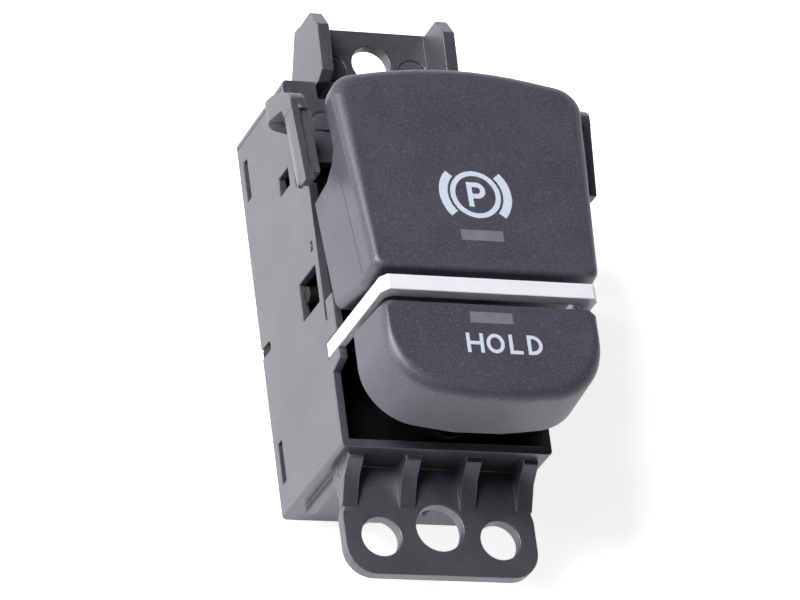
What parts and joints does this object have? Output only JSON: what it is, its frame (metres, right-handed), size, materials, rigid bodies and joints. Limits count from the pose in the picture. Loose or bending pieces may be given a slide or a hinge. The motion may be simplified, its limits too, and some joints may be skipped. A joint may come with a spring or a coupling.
{
  "type": "electric parking brake switch",
  "caption": "Console switch with a pull and press parking brake button, a hold button, a bright trim strip and screw flanges.",
  "frame": {"origin": "centre of the housing's flat back face, on which the switch rests", "axes": "+Z out of the button faces, +Y from the hold button towards the parking button and the far flange, +X to the right seen from the front"},
  "size_m": [0.043, 0.0826, 0.0441],
  "materials": {
    "housing_plastic": "fine-grained moulded plastic",
    "cover_plastic": "fine-grained moulded plastic",
    "frame_plastic": "satin black plastic",
    "button_plastic": "soft-touch satin lacquer",
    "bright_trim": "satin bright plating",
    "lever_plastic": "natural low-friction plastic",
    "clear_plastic": "smoked clear plastic",
    "steel": "drawn wire",
    "silicone": "moulded silicone",
    "board": "solder mask",
    "led_lens": "cast resin",
    "white_plastic": "white reflector plastic",
    "chip_plastic": "moulded epoxy",
    "ceramic": "fired ceramic",
    "contact_metal": "tinned contact"
  },
  "bodies": {
    "switch_body": {"housing": "housing_plastic", "rear_cover": "cover_plastic", "inner_frame": "frame_plastic", "trim_strip": "bright_trim", "pivot_pin_left": "steel", "pivot_pin_right": "steel", "pull_return_spring": "steel", "press_return_spring": "steel", "hold_spring": "steel", "dome_mat": "silicone", "circuit_board": "board", "parking_led": "led_lens", "hold_led": "led_lens", "light_shaft_parking": "white_plastic", "light_shaft_hold": "white_plastic", "controller_chip": "chip_plastic", "capacitors": "ceramic", "connector_header": "frame_plastic", "connector_pins": "contact_metal"},
    "parking_rocker": {"parking_button": "button_plastic", "parking_lever": "lever_plastic", "parking_light_pipe": "clear_plastic"},
    "pull_contact": {"pull_plunger": "lever_plastic"},
    "press_contact": {"press_plunger": "lever_plastic"},
    "hold_key": {"hold_button": "button_plastic", "hold_stem": "lever_plastic", "hold_light_pipe": "clear_plastic", "hold_plunger": "lever_plastic"}
  },
  "joints": [
    {"name": "parking_pull", "type": "hinge", "parent": "switch_body", "child": "parking_rocker", "pos_m": [0, -0.0044, 0.035], "axis": [1, 0, 0], "range_deg": [-3, 6], "stiffness_Nm_per_rad": 0.7, "deforming": ["pull_return_spring", "press_return_spring"]},
    {"name": "pull_plunger_slide", "type": "slide", "parent": "switch_body", "child": "pull_contact", "axis": [0, 0, -1], "range_m": [-0.0004, 0.0008]},
    {"name": "press_plunger_slide", "type": "slide", "parent": "switch_body", "child": "press_contact", "axis": [0, 0, -1], "range_m": [-0.0008, 0.0004]},
    {"name": "hold_press", "type": "slide", "parent": "switch_body", "child": "hold_key", "axis": [0, 0, -1], "range_m": [0, 0.0012], "stiffness_N_per_m": 1500, "deforming": ["hold_spring", "dome_mat"]}
  ],
  "couplings": [
    {"joint": "pull_plunger_slide", "follows": "parking_pull", "m_per_rad": 0.006875},
    {"joint": "press_plunger_slide", "follows": "parking_pull", "m_per_rad": -0.006875}
  ]
}
